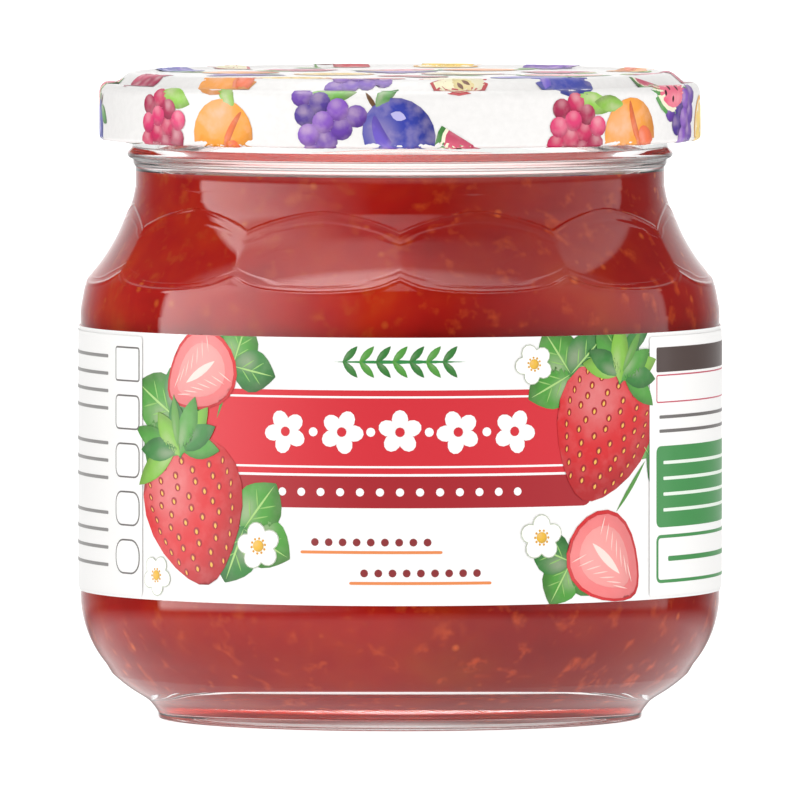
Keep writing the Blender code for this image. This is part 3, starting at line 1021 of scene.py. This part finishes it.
LINE_GREY = "#8F8D8B"
TEXT_GREY = "#6E6A68"
LEFT_ICONS = -38.9 * MM
lay_box(label_print, (-50.2 * MM, 16.0 * MM), 14.5 * MM, 15.6 * MM, 0.4 * MM, PAPER_WHITE, 9)
for row in range(5):
    up = (28.2 - 5.8 * row) * MM
    lay_frame(label_print, (LEFT_ICONS, up), 2.7 * MM, 2.1 * MM, 0.2 * MM, (0.4 + 0.35 * row) * MM,
              TEXT_GREY, PAPER_WHITE, 10)
for row in range(13):
    if row not in (4, 8):
        middle = (-53.2 * MM, (29.0 - 2.1 * row) * MM)
        lay_box(label_print, middle, 9.6 * MM, 0.2 * MM, 0.1 * MM, LINE_GREY, 10)
RIGHT = 48.4 * MM
lay_box(label_print, (RIGHT, 16.0 * MM), 14.3 * MM, 15.6 * MM, 0.4 * MM, PAPER_WHITE, 9)
lay_box(label_print, (RIGHT, 28.8 * MM), 13.0 * MM, 1.5 * MM, 0.2 * MM, "#4A3A36", 10)
lay_frame(label_print, (RIGHT, 25.3 * MM), 13.0 * MM, 1.7 * MM, 0.16 * MM, 0.3 * MM,
          "#C5405A", PAPER_WHITE, 10)
for row in range(2):
    lay_box(label_print, (RIGHT, (21.9 - 1.7 * row) * MM), 12.4 * MM, 0.2 * MM, 0.1 * MM, TEXT_GREY, 10)
lay_box(label_print, (RIGHT, 13.5 * MM), 13.0 * MM, 4.9 * MM, 0.8 * MM, "#3F8F4B", 10)
for row in range(4):
    lay_box(label_print, (RIGHT, (16.4 - 1.9 * row) * MM), 11.6 * MM, 0.2 * MM, 0.1 * MM, "#E9F2E6", 11)
lay_frame(label_print, (RIGHT, 4.8 * MM), 13.0 * MM, 2.9 * MM, 0.4 * MM, 0.8 * MM, "#3F8F4B", PAPER_WHITE, 10)
lay_box(label_print, (RIGHT, 4.8 * MM), 10.6 * MM, 0.3 * MM, 0.15 * MM, "#3F8F4B", 12)

# %% Trim the print at the label's edges
for height, outwards in ((LABEL_TOP, 1.0), (LABEL_BOTTOM, -1.0)):
    everything = label_print.verts[:] + label_print.edges[:] + label_print.faces[:]
    cut = bmesh.ops.bisect_plane(
        label_print, geom=everything, plane_co=(0, 0, height), plane_no=(0, 0, outwards), clear_outer=True,
    )
    rim = [part for part in cut["geom_cut"] if isinstance(part, bmesh.types.BMEdge)]
    bmesh.ops.holes_fill(label_print, edges=rim, sides=0)
piece(label_print, "label_print", [label_ink])

# %% [markdown]
# ## Camera
# The photograph was taken from a long way off with a long lens, from just above the middle
# of the jar. The camera looks at the axis, half way up the frame.

# %% Camera
FRAME_WIDTH = 800 * 0.1214 * MM
AIM_HEIGHT = 38.5 * MM
CAMERA_DISTANCE = 2.5
CAMERA_ELEVATION = math.radians(2.6)
SENSOR = 36.0
camera_data = bpy.data.cameras.new("camera")
camera_data.sensor_width = SENSOR
camera_data.lens = SENSOR * CAMERA_DISTANCE / FRAME_WIDTH
camera_data.clip_start = 0.05
camera_data.clip_end = 50
camera = bpy.data.objects.new("camera", camera_data)
camera.location = (
    0.0,
    -CAMERA_DISTANCE * math.cos(CAMERA_ELEVATION),
    AIM_HEIGHT + CAMERA_DISTANCE * math.sin(CAMERA_ELEVATION),
)
camera.rotation_euler = (math.radians(90) - CAMERA_ELEVATION, 0.0, 0.0)
bpy.context.scene.collection.objects.link(camera)
bpy.context.scene.camera = camera
print("lens", round(camera_data.lens), "mm")

# %% [markdown]
# ## Floor and light
# A shiny jar shows its surroundings, so the studio is drawn in the world: white behind and
# below, a large soft box on the left, a weaker one on the right, a light overhead, and a dark
# room on the camera's side, which keeps the red deep in the middle. Mirror reflections see that
# studio. All other light comes evenly from a white tent.

# %% Floor
FLOOR_RADIUS = 7.0
floor_shape = bmesh.new()
bmesh.ops.create_circle(floor_shape, cap_ends=True, radius=FLOOR_RADIUS, segments=96)
floor_mesh = bpy.data.meshes.new("floor")
floor_shape.to_mesh(floor_mesh)
floor_shape.free()
floor = bpy.data.objects.new("floor", floor_mesh)
floor.location.z = -0.05 * MM
bpy.context.scene.collection.objects.link(floor)
matt_white, tree, shader = material("matt_white_floor", Roughness=0.9, Specular_IOR_Level=0.1)
shader.inputs["Base Color"].default_value = linear("#A0A0A0")
shader.inputs["Emission Color"].default_value = (1.0, 1.0, 1.0, 1.0)
shader.inputs["Emission Strength"].default_value = 1.0
floor_mesh.materials.append(matt_white)
floor.visible_glossy = False

# %% [markdown]
# A real jar has no lamp in it. This one stands for light that comes down through the glass rim.

# %% A soft light inside the neck
NECK_LIGHT_RADIUS = 27.0 * MM
NECK_LIGHT_HEIGHT = JAM_TOP + 1.5 * MM
NECK_LIGHT_RADIANCE = 1.6
lamp_data = bpy.data.lights.new("neck_light", "AREA")
lamp_data.shape = "DISK"
lamp_data.size = 2 * NECK_LIGHT_RADIUS
lamp_data.energy = NECK_LIGHT_RADIANCE * math.pi * math.pi * NECK_LIGHT_RADIUS ** 2
lamp = bpy.data.objects.new("neck_light", lamp_data)
lamp.location = (0.0, 0.0, NECK_LIGHT_HEIGHT)
lamp.rotation_euler = (math.pi, 0.0, 0.0)
lamp.visible_camera = False
lamp.visible_glossy = False
lamp.visible_transmission = False
bpy.context.scene.collection.objects.link(lamp)
print("neck light", round(lamp_data.energy * 1000, 1), "mW")

# %% The studio in the world
STUDIO_GAIN = 5.0
world = bpy.data.worlds.new("studio")
bpy.context.scene.world = world
world.use_nodes = True
tree = world.node_tree
background = tree.nodes["Background"]
place = node(tree, "TexCoord")
parts = node(tree, "SeparateXYZ", {"Vector": place.outputs["Generated"]})
left = node(tree, "Math", {0: parts.outputs["X"], 1: -1.0}, operation="MULTIPLY")
front = node(tree, "Math", {0: parts.outputs["Y"], 1: -1.0}, operation="MULTIPLY")
turn = node(tree, "Math", {0: left.outputs[0], 1: front.outputs[0]}, operation="ARCTAN2")
around = node(tree, "MapRange", {"Value": turn.outputs[0], "From Min": -math.pi, "From Max": math.pi})
climb = node(tree, "Math", {0: parts.outputs["Z"]}, operation="ARCSINE")
height = node(tree, "MapRange", {
    "Value": climb.outputs[0], "From Min": -math.pi / 2, "From Max": math.pi / 2,
})


def grey(value):
    """A grey of the studio, given as its brightness beside white paper."""
    return (value / STUDIO_GAIN, value / STUDIO_GAIN, value / STUDIO_GAIN, 1.0)


def studio_ramp(factor, span, stops):
    """A ramp over an angle of this many degrees, centred on 0."""
    return ramp(tree, factor, [(degrees / span + 0.5, grey(value)) for degrees, value in stops])


walls = studio_ramp(around.outputs[0], 360, [
    (-180, 1.2), (-164, 0.7), (-150, 0.35), (-136, 0.12), (-114, 0.12), (-112, 1.3), (-60, 0.7),
    (-18, 0.08), (12, 0.08), (30, 0.8), (60, 3.0), (96, 4.4), (98, 0.12), (136, 0.12), (150, 0.35),
    (164, 0.7), (180, 1.2),
])
overhead = studio_ramp(height.outputs[0], 180, [(45, 1.1), (64, 1.3), (68, 3.2), (90, 4.2)])
ground = studio_ramp(height.outputs[0], 180, [(-90, 1.0), (-14, 1.0), (-6, 0.1)])
on_walls = ramp(tree, height.outputs[0], [
    ((-8 + 90) / 180, (0, 0, 0, 1)), ((-5 + 90) / 180, (1, 1, 1, 1)),
    ((42 + 90) / 180, (1, 1, 1, 1)), ((48 + 90) / 180, (0, 0, 0, 1)),
])
leftwards = node(tree, "MapRange", {
    "Value": left.outputs[0], "From Min": -0.35, "From Max": 0.35, "To Min": 0.6, "To Max": 1.7,
})
overhead = mixed(tree, 1.0, overhead, leftwards.outputs[0], "MULTIPLY")
above = node(tree, "Math", {0: climb.outputs[0], 1: 0.6}, operation="GREATER_THAN")
ends = mixed(tree, above.outputs[0], ground, overhead)
studio = mixed(tree, on_walls, ends, walls)
bright = mixed(tree, 1.0, studio, (STUDIO_GAIN, STUDIO_GAIN, STUDIO_GAIN, 1.0), "MULTIPLY")
rays = node(tree, "LightPath")
mirrored = node(tree, "Math", {0: rays.outputs["Is Glossy Ray"], 1: rays.outputs["Is Transmission Ray"]},
                operation="SUBTRACT", use_clamp=True)
seen = mixed(tree, mirrored.outputs[0], (1.0, 1.0, 1.0, 1.0), bright)
tree.links.new(seen, background.inputs["Color"])
background.inputs["Strength"].default_value = 1.0

bpy.context.scene.view_settings.view_transform = "Standard"
bpy.context.scene.view_settings.look = "None"
print("studio ready")

# %% [markdown]
# ## The end

# %% Done
print("scene built")
